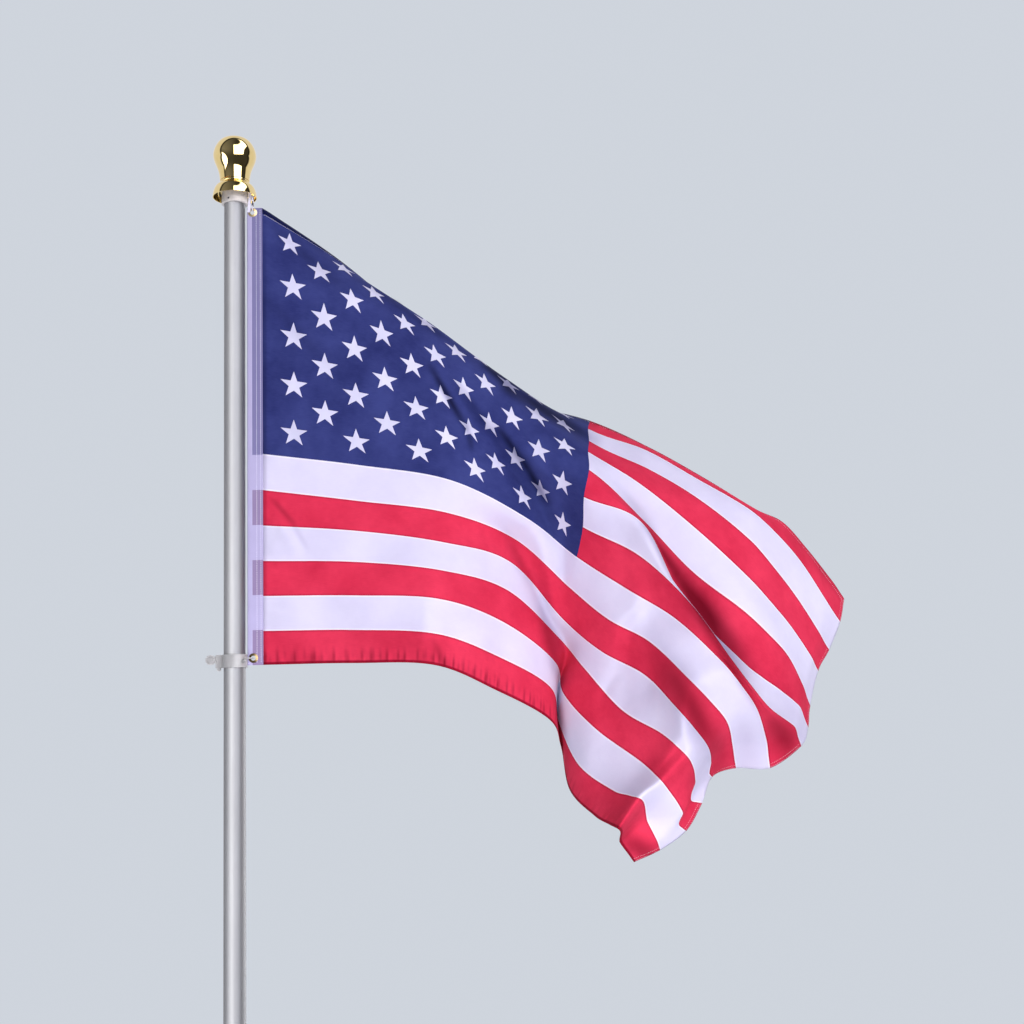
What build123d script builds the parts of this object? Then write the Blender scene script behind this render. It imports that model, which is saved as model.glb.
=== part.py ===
from build123d import *
import math
import os

os.makedirs("parts", exist_ok=True)

# Driving dimensions, in millimetres.

# Pole: three aluminium tube sections, each sleeved over the spigot of the one below
pole_diameter = 42.0
pole_wall = 1.8
pole_height = 6096.0
section_count = 3
spigot_length = 140.0
spigot_clearance = 0.15
swage_taper = 12.0
section_edge = 1.0
plug_depth = 24.0
plug_wall = 2.4
plug_ribs = 6
plug_clearance = 0.1

# Finial: a spun bell cup and a pear-shaped ball above it
finial_wall = 1.6
cup_rim_radius = 43.8
cup_height = 29.0
cup_ceiling = 24.0
cup_flare = 2.0
cup_flare_rise = 13.0
cup_shoulder = 5.5
cup_shoulder_rise = 24.4
neck_radius = 29.3
bead_height = 5.0
bead_radius = 1.6
ball_radius = 42.8
ball_height = 91.0
ball_shoulder = 38.0
ball_waist = 68.0
ball_waist_swell = 4.0
ball_crown = 8.0
ball_crown_share = 0.71

# Collar that caps the tube and carries the swivel ring and the finial
collar_radius = 26.0
collar_skirt = 11.0
collar_bevel = 0.8
collar_rise = 16.0
collar_clearance = 0.1
collar_neck_radius = 20.0
rim_above_tube = 4.0
collar_screw_radius = 2.5
collar_screw_drop = 4.5
thread_clearance = 0.05
collar_screw_recess = 2.5
collar_screw_turn = -109.0

# Swivel ring, tie and link that hold the upper grommet
swivel_clearance = 0.6
swivel_radius = 27.0
swivel_thickness = 5.0
swivel_lift = 0.4
lug_thickness = 3.0
lug_reach = 40.2
lug_foot_rise = 0.5
lug_eye_radius = 3.4
lug_edge = 1.4
lug_shoulder = 6.0
lug_root = 4.0
lug_corner = 2.0
tie_width = 6.0
tie_thickness = 1.2
tie_lean = 2.4
link_wire = 2.4
link_slack = 0.5
soft_clearance = 0.3

# Flag: heading, union and thirteen stripes
flag_hoist = 914.4
flag_drop = 19.0
heading_gap = 3.5
heading_width = 30.0
heading_thickness = 1.6
cloth_thickness = 1.4
seam_gap = 0.3
stripe_count = 13
union_stripes = 7
cloth_steps = 3
grommet_radius = 9.2
grommet_hole = 4.8
grommet_flange = 1.0
grommet_inset = 11.3
grommet_top_drop = 9.2
grommet_foot_rise = 13.4

# Clamp ring with its ears, bolt, thumb nut and hook at the lower grommet
clamp_clearance = 0.6
clamp_wall = 2.6
clamp_height = 25.0
clamp_rise = 8.6
ear_gap = 3.0
ear_thickness = 3.0
ear_reach = 24.0
bolt_radius = 2.5
bolt_clearance = 0.15
nut_radius = 9.6
nut_thickness = 7.0
nut_flutes = 10
eye_turn = -40.0
eye_reach = 8.5
eye_thickness = 3.0
eye_width = 8.0
eye_clearance = 0.8
bolt_rise = 3.0
bolt_boss = 3.5
bolt_head_radius = 4.7
bolt_head_thickness = 3.0
lug_tab_width = 6.0
lug_tab_height = 8.0
nut_collar_share = 0.7
nut_boss_share = 0.5
flute_radius = 2.0
flute_reach = 1.2
hook_wire = 2.2
hook_step = 8.0
hook_return = 6.0
hook_bends = [2.2, 3.0, 2.6, 1.6]

# Values that follow from the driving dimensions
pole_radius = pole_diameter / 2
pole_bore = pole_radius - pole_wall
spigot_radius = pole_bore - spigot_clearance
section_reach = pole_height / section_count
flag_top = pole_height - flag_drop
heading_left = pole_radius + heading_gap
hoist_seam = heading_left + heading_width
stripe_height = flag_hoist / stripe_count
collar_top = pole_height + collar_rise
rim_height = pole_height + rim_above_tube
grommet_x = heading_left + grommet_inset
grommet_top_z = flag_top - grommet_top_drop
grommet_foot_z = flag_top - flag_hoist + grommet_foot_rise
clamp_z = flag_top - flag_hoist + clamp_rise

# Shape of the flag, read seam by seam from the hoist to the fly.
# Each seam has a station at each of PLACES: where it is seen in the picture frame, and its depth
# behind the pole in mm. Place 0 is the hoist, UNION_END the end of the union, the last the fly end.
EYE_SIDE = 540.4
EYE_BACK = 2701.7
EYE_BELOW = 1011.1
EYE_PITCH = 8.0
EYE_ROLL = -1.5946
EYE_FOCUS = 1400.0
FRAME_CENTRE = 512.0
SHAPE_HOIST = 914.4
SHAPE_SEAM = 54.5
UNION_END = 4
NEARBY = 0.1
PLACES = [0, 1, 2, 3, 4, 5, 6, 7, 8, 8.6, 9]

SEAMS_SEEN = [
    [(262.7, 208), (342, 262), (423, 330), (502, 394), (590, 421), (650, 448),
     (704, 478), (757, 510), (807, 549), (829, 577), (844, 599)],
    [(262.7, 243), (345, 273), (424, 319), (506, 380), (588, 429), (645, 450),
     (697, 479), (750, 510), (801, 562), (827, 602), (840, 622)],
    [(262.7, 278), (352, 297), (430, 335), (508, 383), (589, 441), (650, 470),
     (700, 500), (750, 540), (797, 598), (820, 634), (829, 650)],
    [(262.7, 313), (354, 332), (437, 361), (511, 404), (588, 452), (640, 484),
     (695, 528), (748, 577), (792, 628), (812, 658), (818, 671)],
    [(262.7, 349), (355, 366), (441, 391), (513, 432), (589, 470), (643, 520),
     (692, 571), (744, 611), (788, 656), (804, 688), (810, 706)],
    [(262.7, 384), (356, 399), (445, 420), (516, 461), (584, 497), (642, 523),
     (684, 600), (743, 662), (780, 690), (800, 707), (808, 728)],
    [(262.7, 419), (356, 432), (448, 449), (521, 488), (583, 527), (640, 556),
     (690, 603), (732, 660), (770, 708), (795, 727), (801, 746)],
    [(262.7, 454), (358, 465), (450, 480), (525, 517), (577, 557), (627, 589),
     (676, 619), (722, 662), (757, 709), (767, 742), (770, 768)],
    [(262.7, 490), (358, 501), (446, 512.5), (515, 539), (569, 587), (608, 619),
     (650, 642), (690, 680), (727, 722), (733, 748), (736, 768)],
    [(262.7, 525.5), (357, 531), (444, 542.5), (510, 562), (563, 619), (601, 651),
     (645, 675), (676, 707), (708, 747), (711, 762), (712, 774)],
    [(262.7, 561), (356, 562), (442, 570.5), (507, 590), (559, 638), (585, 669),
     (622, 710), (661, 733), (691, 762), (698, 781), (701, 802)],
    [(262.7, 596), (355, 595.5), (439, 599), (503, 622), (554, 661), (564, 694),
     (596, 729), (640, 761), (667, 788), (682, 812), (684, 830)],
    [(262.7, 631), (354, 630), (437, 634), (499, 657), (550, 687), (559, 722),
     (579, 765), (614, 791), (643, 801), (648, 823), (660, 850)],
    [(262.7, 664.9), (354, 663), (435, 665), (496, 690), (549, 719), (561, 746),
     (570, 790), (596, 817), (620, 831), (620, 843), (634, 862)],
]
SEAM_DEPTHS = [
    [0, 120, 190, 230, 240, 210, 180, 170, 200, 230, 260],
    [0, 70, 120, 160, 180, 150, 120, 110, 150, 190, 220],
    [0, 30, 80, 100, 120, 100, 70, 70, 120, 170, 210],
    [0, 30, 50, 60, 70, 50, 30, 50, 90, 140, 180],
    [0, 20, 40, 40, 30, 30, 30, 10, 60, 120, 160],
    [0, 20, 30, 60, 40, 30, 40, 10, 40, 80, 120],
    [0, 10, 20, 90, 70, 30, -20, -50, -10, 40, 80],
    [0, 10, 20, 80, 110, 50, 10, -50, -10, 40, 80],
    [0, 10, 20, 110, 140, 80, 30, -50, -10, 60, 100],
    [0, 0, 10, 100, 170, 110, 60, -30, -10, 60, 110],
    [0, -10, -10, 90, 210, 150, 80, 0, -40, 30, 80],
    [0, -20, -30, 70, 190, 180, 110, 30, -50, 10, 60],
    [0, -30, -50, 60, 170, 210, 130, 40, -60, 10, 30],
    [0, -50, -70, 40, 140, 230, 180, 50, -70, 10, 50],
]


def save(piece, name):
    piece.part.label = name
    export_step(piece.part, f"parts/{name}.step")


# The line of sight through a place in the picture, met at a depth behind the pole
def sighted(place, depth):
    pitch = math.radians(EYE_PITCH)
    roll = math.radians(EYE_ROLL)
    ahead = Vector(0, math.cos(pitch), math.sin(pitch))
    level = Vector(1, 0, 0)
    upright = level.cross(ahead)
    side = level * math.cos(roll) + upright * math.sin(roll)
    up = upright * math.cos(roll) - level * math.sin(roll)
    across = (place[0] - FRAME_CENTRE) / EYE_FOCUS
    down = (place[1] - FRAME_CENTRE) / EYE_FOCUS
    ray = ahead + side * across - up * down
    reach = (EYE_BACK + depth) / ray.Y
    seam_shift = EYE_SIDE - SHAPE_SEAM
    size = flag_hoist / SHAPE_HOIST
    return Vector(
        hoist_seam + (ray.X * reach + seam_shift) * size,
        depth * size,
        flag_top + (ray.Z * reach - EYE_BELOW) * size,
    )


# The seam's run from one station to the next, for each step of place, at a station
def seam_slope(stations, station):
    before = max(station - 1, 0)
    after = min(station + 1, len(PLACES) - 1)
    return (stations[after] - stations[before]) / (PLACES[after] - PLACES[before])


# A smooth curve through the stations of one seam
def seam_point(seam, place):
    stations = seam_stations[seam]
    start = max(k for k in range(len(PLACES) - 1) if PLACES[k] <= place)
    span = PLACES[start + 1] - PLACES[start]
    t = (place - PLACES[start]) / span
    return (
        stations[start] * (2 * t**3 - 3 * t**2 + 1)
        + seam_slope(stations, start) * span * (t**3 - 2 * t**2 + t)
        + stations[start + 1] * (3 * t**2 - 2 * t**3)
        + seam_slope(stations, start + 1) * span * (t**3 - t**2)
    )


seam_stations = [
    [sighted(place, depth) for place, depth in zip(seen, depths)]
    for seen, depths in zip(SEAMS_SEEN, SEAM_DEPTHS)
]
fly = PLACES[-1]
for stations in seam_stations:
    stations[0] = Vector(hoist_seam + seam_gap, 0, stations[0].Z)


# The cloth's own normal at a place on a seam
def cloth_normal(seam, place):
    along = seam_point(seam, min(place + NEARBY, fly)) - seam_point(seam, max(place - NEARBY, 0))
    above = seam_point(max(seam - 1, 0), place)
    below = seam_point(min(seam + 1, stripe_count), place)
    return along.cross(below - above).normalized()


# Two flat facets between four corners
def facets(a, b, c, d):
    return [
        Face(Wire([Edge.make_line(p, q) for p, q in ((a, b), (b, c), (c, a))])),
        Face(Wire([Edge.make_line(p, q) for p, q in ((a, c), (c, d), (d, a))])),
    ]


# One panel of cloth between two seams, with a hair of room at each seam
def cloth_panel(name, top_seam, foot_seam, start, end):
    steps = (end - start) * cloth_steps
    front = []
    back = []
    for seam in range(top_seam, foot_seam + 1):
        front_row = []
        back_row = []
        for step in range(steps + 1):
            place = start + step / cloth_steps
            point = seam_point(seam, place)
            toward = {top_seam: seam + 1, foot_seam: seam - 1}.get(seam)
            if toward is not None:
                point += (seam_point(toward, place) - point).normalized() * seam_gap / 2
            if step == 0 and start > 0:
                point += (seam_point(seam, place + NEARBY) - point).normalized() * seam_gap
            skin = cloth_normal(seam, place) * cloth_thickness / 2
            front_row.append(point - skin)
            back_row.append(point + skin)
        front.append(front_row)
        back.append(back_row)
    rows = foot_seam - top_seam
    faces = []
    for row in range(rows):
        for step in range(steps):
            for side in (front, back):
                faces += facets(
                    side[row][step], side[row][step + 1], side[row + 1][step + 1], side[row + 1][step]
                )
    for row in (0, rows):
        for step in range(steps):
            faces += facets(front[row][step], front[row][step + 1], back[row][step + 1], back[row][step])
    for step in (0, steps):
        for row in range(rows):
            faces += facets(front[row][step], front[row + 1][step], back[row + 1][step], back[row][step])
    with BuildPart() as panel:
        add(Solid(Shell(faces)))
    save(panel, name)


# Pole sections, from the ground up
def pole_section(name, foot, top, spigot):
    with BuildPart() as tube:
        with BuildSketch(Plane.XZ) as outline:
            with BuildLine():
                if spigot:
                    Polyline(
                        (pole_bore, foot),
                        (pole_radius - section_edge, foot),
                        (pole_radius, foot + section_edge),
                        (pole_radius, top - section_edge),
                        (pole_radius - section_edge, top),
                        (spigot_radius, top),
                        (spigot_radius, top + spigot_length),
                        (spigot_radius - pole_wall, top + spigot_length),
                        (spigot_radius - pole_wall, top - swage_taper),
                        (pole_bore, top - 2 * swage_taper),
                        close=True,
                    )
                else:
                    Polyline(
                        (pole_bore, foot),
                        (pole_radius - section_edge, foot),
                        (pole_radius, foot + section_edge),
                        (pole_radius, top),
                        (pole_bore, top),
                        close=True,
                    )
            make_face()
        revolve(axis=Axis.Z)
    save(tube, name)


pole_section("pole_lower", 0, section_reach, True)
pole_section("pole_middle", section_reach, 2 * section_reach, True)
pole_section("pole_upper", 2 * section_reach, pole_height, False)

# Plug that closes the foot of the tube: a disc with a ribbed skirt behind it
with BuildPart() as foot_plug:
    with BuildSketch():
        Circle(pole_bore - plug_clearance)
    extrude(amount=plug_wall)
    with BuildSketch(Plane.XY.offset(plug_wall)):
        Circle(pole_bore - plug_clearance)
        Circle(pole_bore - plug_clearance - plug_wall, mode=Mode.SUBTRACT)
    extrude(amount=plug_depth - plug_wall)
    with BuildSketch(Plane.XY.offset(plug_wall)):
        with PolarLocations(0, plug_ribs // 2, angular_range=180):
            Rectangle(2 * (pole_bore - plug_clearance - plug_wall / 2), plug_wall / 2)
    extrude(amount=plug_depth - 2 * plug_wall)
save(foot_plug, "foot_plug")

# Collar: a cap over the tube's end, with a neck for the swivel ring
with BuildPart() as collar:
    with BuildSketch(Plane.XZ):
        with BuildLine():
            Polyline(
                (pole_radius + collar_clearance, pole_height - collar_skirt),
                (collar_radius, pole_height - collar_skirt),
                (collar_radius, collar_top),
                (collar_neck_radius, collar_top),
                (collar_neck_radius, rim_height + cup_ceiling),
                (0, rim_height + cup_ceiling),
                (0, pole_height),
                (pole_radius + collar_clearance, pole_height),
                close=True,
            )
        make_face()
    revolve(axis=Axis.Z)
    foot_edges = collar.edges().filter_by(GeomType.CIRCLE).group_by(Axis.Z)[0]
    chamfer(foot_edges.sort_by(SortBy.LENGTH)[-1:], length=collar_bevel)
    screw_turn = Plane(
        origin=(0, 0, pole_height - collar_screw_drop),
        z_dir=Vector(1, 0, 0).rotate(Axis.Z, collar_screw_turn),
    )
    with BuildSketch(screw_turn):
        Circle(collar_screw_radius)
    extrude(amount=2 * collar_radius, mode=Mode.SUBTRACT)
save(collar, "top_collar")

with BuildPart() as collar_screw:
    with BuildSketch(screw_turn.offset(pole_radius + collar_clearance)):
        Circle(collar_screw_radius - thread_clearance)
        RegularPolygon(collar_screw_radius * 0.5, 6, mode=Mode.SUBTRACT)
    extrude(amount=collar_radius - pole_radius - collar_screw_recess)
save(collar_screw, "collar_screw")

# Finial cup: a thin bell, open below, whose ceiling rests on the collar's neck
with BuildPart() as finial_cup:
    with BuildSketch(Plane.XZ):
        with BuildLine():
            outer = Spline(
                (cup_rim_radius, rim_height),
                (cup_rim_radius - cup_flare, rim_height + cup_flare_rise),
                (neck_radius + cup_shoulder, rim_height + cup_shoulder_rise),
                (neck_radius, rim_height + cup_height),
                tangents=[(0, 1), (-0.35, 1)],
            )
            shoulder = Line(outer @ 1, (0, rim_height + cup_height))
            core = Line(shoulder @ 1, (0, rim_height + cup_ceiling))
            ceiling = Line(core @ 1, (neck_radius - finial_wall, rim_height + cup_ceiling))
            inner = Spline(
                ceiling @ 1,
                (cup_rim_radius - cup_flare - finial_wall, rim_height + cup_flare_rise - finial_wall),
                (cup_rim_radius - finial_wall, rim_height),
                tangents=[(1, -0.6), (0, -1)],
            )
            Line(inner @ 1, outer @ 0)
        make_face()
    revolve(axis=Axis.Z)
save(finial_cup, "finial_cup")

# Bead between the cup and the ball
bead_foot = rim_height + cup_height
with BuildPart() as finial_bead:
    with BuildSketch(Plane.XY.offset(bead_foot)):
        Circle(neck_radius)
    extrude(amount=bead_height)
    fillet(finial_bead.edges(), radius=bead_radius)
save(finial_bead, "finial_bead")

# Ball: full above, drawn in below to the bead
ball_foot = bead_foot + bead_height
ball_top = ball_foot + ball_height
with BuildPart() as finial_ball:
    with BuildSketch(Plane.XZ):
        with BuildLine():
            skin = Spline(
                (neck_radius, ball_foot),
                (neck_radius + ball_waist_swell, ball_top - ball_waist),
                (ball_radius, ball_top - ball_shoulder),
                (ball_radius * ball_crown_share, ball_top - ball_crown),
                (0, ball_top),
                tangents=[(0.1, 1), (-1, 0)],
            )
            axis_line = Line(skin @ 1, (0, ball_foot))
            Line(axis_line @ 1, skin @ 0)
        make_face()
    revolve(axis=Axis.Z)
save(finial_ball, "finial_ball")

# Swivel ring that turns on the collar's neck; its lug hangs beside the collar with an eye for the link
ring_foot = collar_top + swivel_lift
ring_top = ring_foot + swivel_thickness
lug_foot = rim_height + lug_foot_rise
eye_z = lug_foot + lug_eye_radius + lug_edge
with BuildPart() as swivel_ring:
    with BuildSketch(Plane.XY.offset(ring_foot)):
        Circle(swivel_radius)
    extrude(amount=swivel_thickness)
    with BuildSketch(Plane.XZ.offset(-lug_thickness / 2)):
        with BuildLine():
            Polyline(
                (collar_radius + swivel_clearance, lug_foot),
                (lug_reach, lug_foot),
                (lug_reach, eye_z),
                (swivel_radius + lug_shoulder, ring_top),
                (swivel_radius - lug_root, ring_top),
                (swivel_radius - lug_root, ring_foot),
                (collar_radius + swivel_clearance, ring_foot),
                close=True,
            )
        lug_outline = make_face()
        fillet(lug_outline.vertices().sort_by(Axis.X)[-2:], radius=lug_corner)
    extrude(amount=lug_thickness)
    with BuildSketch(Plane.XY.offset(ring_foot)):
        Circle(collar_neck_radius + swivel_clearance)
    extrude(amount=swivel_thickness, mode=Mode.SUBTRACT)
    with BuildSketch(Plane.XZ.offset(-lug_thickness)):
        with Locations((grommet_x, eye_z)):
            Circle(lug_eye_radius)
    extrude(amount=2 * lug_thickness, mode=Mode.SUBTRACT)
save(swivel_ring, "swivel_ring")

# Link of bent wire through the lug's eye and the upper grommet
link_top = eye_z - lug_eye_radius + link_wire / 2 + link_slack
link_foot = grommet_top_z + grommet_hole - link_wire / 2 - 2 * link_slack
link_half = heading_thickness / 2 + grommet_flange + link_wire
with BuildPart() as top_link:
    with BuildLine(Plane.YZ.offset(grommet_x)) as link_path:
        Line((-link_half, link_foot + link_half), (-link_half, link_top - link_half))
        ThreePointArc(
            (-link_half, link_top - link_half),
            (0, link_top),
            (link_half, link_top - link_half),
        )
        Line((link_half, link_top - link_half), (link_half, link_foot + link_half))
        ThreePointArc(
            (link_half, link_foot + link_half),
            (0, link_foot),
            (-link_half, link_foot + link_half),
        )
    link_start = Plane(origin=(grommet_x, -link_half, link_foot + link_half), z_dir=(0, 0, 1))
    with BuildSketch(link_start):
        Circle(link_wire / 2)
    sweep(path=link_path.wire())
save(top_link, "top_link")

# Tape that ties the head of the heading up to the lug's front
tie_x = heading_left + tie_width * 0.6
tie_front = lug_thickness / 2 + tie_thickness / 2 + soft_clearance
with BuildPart() as top_tie:
    with BuildLine(Plane.XZ.offset(tie_front)) as tie_path:
        Spline(
            (tie_x, grommet_top_z),
            (tie_x + tie_lean / 2, flag_top),
            (tie_x + tie_lean, ring_foot),
        )
    tie_start = Plane(origin=tie_path.line @ 0, x_dir=(1, 0, 0), z_dir=tie_path.line % 0)
    with BuildSketch(tie_start):
        Rectangle(tie_width, tie_thickness)
    sweep(path=tie_path.wire())
save(top_tie, "top_tie")

# Heading: a folded tape down the hoist, with a hole for each grommet
grommet_heights = (grommet_top_z, grommet_foot_z)
with BuildPart() as heading:
    with BuildSketch(Plane.XZ.offset(-heading_thickness / 2)):
        with Locations((heading_left + heading_width / 2, flag_top - flag_hoist / 2)):
            Rectangle(heading_width, flag_hoist)
        with Locations([(grommet_x, height) for height in grommet_heights]):
            Circle(grommet_hole + grommet_flange, mode=Mode.SUBTRACT)
    extrude(amount=heading_thickness)
save(heading, "heading")


# Grommet: a flanged brass eyelet clinched through the heading
def grommet(name, height):
    rim = heading_thickness / 2 + grommet_flange
    with BuildPart() as eyelet:
        with BuildSketch(Plane.XY):
            with BuildLine():
                Polyline(
                    (grommet_hole, -rim),
                    (grommet_radius, -heading_thickness / 2),
                    (grommet_hole + grommet_flange, -heading_thickness / 2),
                    (grommet_hole + grommet_flange, heading_thickness / 2),
                    (grommet_radius, heading_thickness / 2),
                    (grommet_hole, rim),
                    close=True,
                )
            make_face()
        revolve(axis=Axis.Y)
    eyelet.part.locate(Location((grommet_x, 0, height)))
    save(eyelet, name)


grommet("grommet_top", grommet_top_z)
grommet("grommet_foot", grommet_foot_z)

# Union in the upper corner, then the stripes beside it and below it
cloth_panel("union", 0, union_stripes, 0, UNION_END)
for stripe in range(stripe_count):
    stripe_start = UNION_END if stripe < union_stripes else 0
    cloth_panel(f"stripe_{stripe + 1:02d}", stripe, stripe + 1, stripe_start, fly)

# Clamp ring: a split band round the pole, two ears on the left and an eye at front right
band_inner = pole_radius + clamp_clearance
band_outer = band_inner + clamp_wall
band_foot = clamp_z - clamp_height / 2
bolt_x = ear_gap / 6 - band_inner - ear_reach
bolt_z = clamp_z + bolt_rise
boss_radius = bolt_radius + bolt_boss
ear_back = ear_gap / 2 + ear_thickness
eye_middle = band_outer + eye_reach / 2
with BuildPart() as clamp_ring:
    with BuildSketch(Plane.XY.offset(band_foot)):
        Circle(band_outer)
    extrude(amount=clamp_height)
    with BuildSketch(Plane.XZ.offset(-ear_back)):
        with Locations((-band_inner - ear_reach * 0.3, clamp_z)):
            Rectangle(ear_reach * 0.6, clamp_height)
        with Locations((bolt_x, bolt_z)):
            Circle(boss_radius)
        with Locations((bolt_x + ear_reach / 3, bolt_z)):
            Rectangle(ear_reach * 2 / 3, 2 * boss_radius)
        with Locations((-band_outer - lug_tab_width, band_foot - lug_tab_height / 4)):
            RectangleRounded(lug_tab_width, lug_tab_height, lug_tab_width / 3)
    extrude(amount=2 * ear_back)
    with BuildSketch(Plane.XY.offset(clamp_z - eye_thickness / 2)):
        with Locations(Location((0, 0, 0), (0, 0, 1), eye_turn)):
            with Locations((band_outer + (eye_reach - eye_thickness) / 2, 0)):
                SlotOverall(eye_reach + 2 * eye_thickness, eye_width)
    extrude(amount=eye_thickness)
    with BuildSketch(Plane.XY.offset(band_foot - clamp_height / 2)):
        Circle(band_inner)
        with Locations((-band_outer - ear_reach / 2, 0)):
            Rectangle(ear_reach * 3 / 2, ear_gap)
        with Locations(Location((0, 0, 0), (0, 0, 1), eye_turn)):
            with Locations((eye_middle, 0)):
                Circle(hook_wire / 2 + eye_clearance)
    extrude(amount=2 * clamp_height, mode=Mode.SUBTRACT)
    with BuildSketch(Plane.XZ.offset(-band_outer)):
        with Locations((bolt_x, bolt_z)):
            Circle(bolt_radius + bolt_clearance)
    extrude(amount=2 * band_outer, mode=Mode.SUBTRACT)
save(clamp_ring, "clamp_ring")

# Bolt through the ears, with a low round head behind
with BuildPart() as clamp_bolt:
    with BuildSketch(Plane.XZ.offset(-ear_back - bolt_head_thickness)):
        with Locations((bolt_x, bolt_z)):
            Circle(bolt_head_radius)
    extrude(amount=bolt_head_thickness)
    with BuildSketch(Plane.XZ.offset(-ear_back)):
        with Locations((bolt_x, bolt_z)):
            Circle(bolt_radius)
    extrude(amount=2 * ear_back + nut_thickness)
save(clamp_bolt, "clamp_bolt")

# Thumb nut: a fluted disc with a raised boss on the bolt's front end
with BuildPart() as thumb_nut:
    with BuildSketch(Plane.XZ.offset(ear_back)):
        with Locations((bolt_x, bolt_z)):
            Circle(nut_radius)
            with PolarLocations(nut_radius + flute_reach, nut_flutes):
                Circle(flute_radius, mode=Mode.SUBTRACT)
    extrude(amount=nut_thickness * nut_collar_share)
    with BuildSketch(Plane.XZ.offset(ear_back + nut_thickness * nut_collar_share)):
        with Locations((bolt_x, bolt_z)):
            Circle(nut_radius * nut_boss_share)
    extrude(amount=nut_thickness * (1 - nut_collar_share))
    with BuildSketch(Plane.XZ):
        with Locations((bolt_x, bolt_z)):
            Circle(bolt_radius + thread_clearance)
    extrude(amount=2 * band_outer, mode=Mode.SUBTRACT)
save(thumb_nut, "thumb_nut")

# Hook of bent wire from the clamp ring's eye through the foot grommet
eye_x = eye_middle * math.cos(math.radians(eye_turn))
eye_y = eye_middle * math.sin(math.radians(eye_turn))
hook_side = heading_thickness / 2 + grommet_flange + hook_wire
hook_points = [
    (eye_x, eye_y, clamp_z - 1.5 * eye_thickness),
    (eye_x, eye_y, clamp_z + 1.5 * eye_thickness),
    (eye_x + hook_step, eye_y + hook_step, grommet_foot_z),
    (grommet_x, -hook_side - hook_wire, grommet_foot_z),
    (grommet_x, hook_side + hook_wire / 2, grommet_foot_z),
    (grommet_x - hook_return, hook_side + hook_wire / 2, grommet_foot_z),
]
with BuildPart() as foot_hook:
    with BuildLine() as hook_path:
        FilletPolyline(*hook_points, radius=hook_bends)
    hook_start = Plane(origin=hook_path.line @ 0, z_dir=hook_path.line % 0)
    with BuildSketch(hook_start):
        Circle(hook_wire / 2)
    sweep(path=hook_path.wire())
save(foot_hook, "foot_hook")
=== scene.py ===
import math

import bmesh
import bpy
import numpy as np
from mathutils import Matrix, Vector


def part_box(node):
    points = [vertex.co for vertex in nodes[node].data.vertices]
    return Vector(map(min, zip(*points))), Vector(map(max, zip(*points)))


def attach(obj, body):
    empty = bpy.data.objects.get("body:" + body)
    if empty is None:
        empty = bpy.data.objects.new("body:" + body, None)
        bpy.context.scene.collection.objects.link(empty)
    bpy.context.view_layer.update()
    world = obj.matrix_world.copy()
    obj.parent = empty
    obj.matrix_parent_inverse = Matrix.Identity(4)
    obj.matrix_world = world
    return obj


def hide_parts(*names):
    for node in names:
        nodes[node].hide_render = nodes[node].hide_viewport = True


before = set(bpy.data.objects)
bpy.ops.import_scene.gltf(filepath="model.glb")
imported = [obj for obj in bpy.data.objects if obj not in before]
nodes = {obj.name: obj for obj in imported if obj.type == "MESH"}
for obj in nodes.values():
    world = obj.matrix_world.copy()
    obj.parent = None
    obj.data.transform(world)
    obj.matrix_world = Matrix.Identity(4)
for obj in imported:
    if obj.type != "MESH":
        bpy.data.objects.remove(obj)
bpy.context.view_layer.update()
rng = np.random.default_rng(13)

# The viewer's place and view, in metres and in pixels of the picture
EYE = np.array([0.5404, -2.7017, 5.0659])
PITCH = math.radians(8.0)
ROLL = math.radians(-1.5946)
FOCUS = 1400.0
WIDE = 1024.0
FILM = 36.0
AHEAD = np.array([0.0, math.cos(PITCH), math.sin(PITCH)])
LEVEL = np.array([1.0, 0.0, 0.0])
UPRIGHT = np.cross(LEVEL, AHEAD)
SIDE = LEVEL * math.cos(ROLL) + UPRIGHT * math.sin(ROLL)
UP = UPRIGHT * math.cos(ROLL) - LEVEL * math.sin(ROLL)

# The flag when flat, in metres, with its hems and seams; a star's waist is a share of its radius
FLY = 1.494
HOIST = 0.9144
UNION = 0.75
STRIPES = 13
BESIDE_UNION = 7
STRIPE = HOIST / STRIPES
UNION_DROP = BESIDE_UNION * STRIPE
STAR_RADIUS = 0.0282
STAR_WAIST = 0.39
TOP_HEM = 0.011
FOOT_HEM = 0.0055
# Where the painted shade along the top hem fades out, from and to, along the fly in metres
TOP_HEM_SHADE_FADES = (1.0, 1.15)
SEAM_SHOWN = 0.00317
FELL = 0.0035

# Where it hangs
SEAM_X = 0.0545
TOP_Z = 6.077
HEADING_X = 0.0245
HEADING_WIDTH = 0.030
TAPE_SEWN = (0.88, 0.62)
TAPE_LAP = 0.0006
EYELET_HOLE = 0.0062

# Half the thickness of the cloth, what a seam and the fly hem add to it, and how far the stars stand off
CLOTH_HALF = 0.00022
SEAM_ADDS = 0.00028
HEM_ADDS = 0.0004
STAR_OFF = 0.0007

# Stations along the fly, 0 at the hoist
PLACES = [0, 1, 2, 3, 4, 5, 6, 7, 7.5, 8, 8.6, 8.75, 9]
UNION_END = 4
FLY_END = 9

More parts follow.
